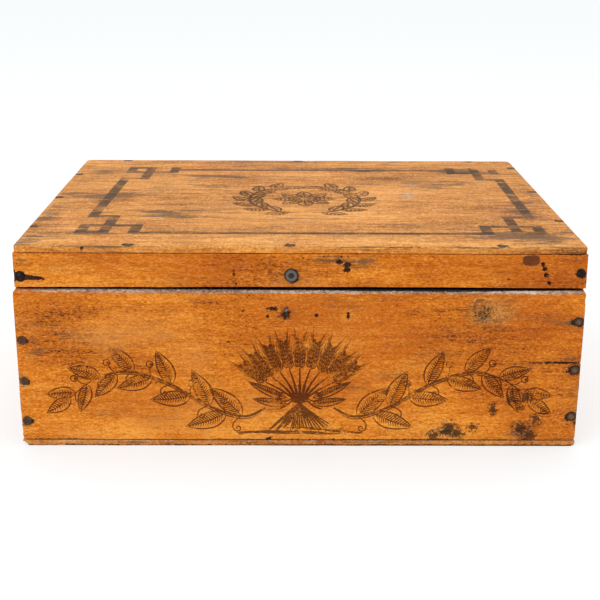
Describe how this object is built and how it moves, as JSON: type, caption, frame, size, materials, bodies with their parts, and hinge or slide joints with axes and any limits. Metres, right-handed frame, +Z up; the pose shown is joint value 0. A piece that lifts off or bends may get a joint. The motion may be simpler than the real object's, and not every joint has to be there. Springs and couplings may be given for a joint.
{
  "type": "wooden trade box",
  "caption": "Flat rectangular wooden trade box of nailed boards, with a shallow railed lid on iron butt hinges and the remains of a front catch; it holds loose goods.",
  "frame": {"origin": "centre of the underside of the bottom planks", "axes": "+X to the right as seen from the front, +Y to the back where the hinges are, +Z up"},
  "size_m": [0.36, 0.2789, 0.1348],
  "materials": {
    "carcass_wood": "old honey-orange varnished softwood, worn and scratched, with a thin dark print on the front",
    "rail_wood": "old honey-orange varnished softwood, worn and scratched",
    "lid_wood": "rubbed, paler tan softwood with a faded dark fret border",
    "bottom_wood": "raw, dusty softwood planks",
    "nail_iron": "dark, lightly rusted iron",
    "hinge_iron": "dark japanned iron with rust at the edges",
    "catch_steel": "grey, rubbed iron",
    "catch_iron": "dark bent iron wire"
  },
  "bodies": {
    "box": {"front_board": "carcass_wood", "back_board": "carcass_wood", "left_side_board": "carcass_wood", "right_side_board": "carcass_wood", "bottom_plank_front": "bottom_wood", "bottom_plank_middle": "bottom_wood", "bottom_plank_rear": "bottom_wood", "front_board_nails": "nail_iron", "back_board_nails": "nail_iron", "bottom_nails": "nail_iron", "left_hinge_box_leaf": "hinge_iron", "left_hinge_pin": "hinge_iron", "right_hinge_box_leaf": "hinge_iron", "right_hinge_pin": "hinge_iron", "hinge_box_screws": "hinge_iron", "catch_staple": "catch_iron"},
    "lid": {"lid_top": "lid_wood", "lid_front_rail": "rail_wood", "lid_back_rail": "rail_wood", "lid_left_rail": "rail_wood", "lid_right_rail": "rail_wood", "lid_top_nails": "nail_iron", "lid_front_rail_nails": "nail_iron", "lid_back_rail_nails": "nail_iron", "left_hinge_lid_leaf": "hinge_iron", "right_hinge_lid_leaf": "hinge_iron", "hinge_lid_screws": "hinge_iron", "catch_rosette": "catch_steel", "catch_pin": "catch_iron"}
  },
  "joints": [
    {"name": "lid_hinge", "type": "hinge", "parent": "box", "child": "lid", "pos_m": [0, 0.1379, 0.1078], "axis": [-1, 0, 0], "range_deg": [0, 180]}
  ]
}
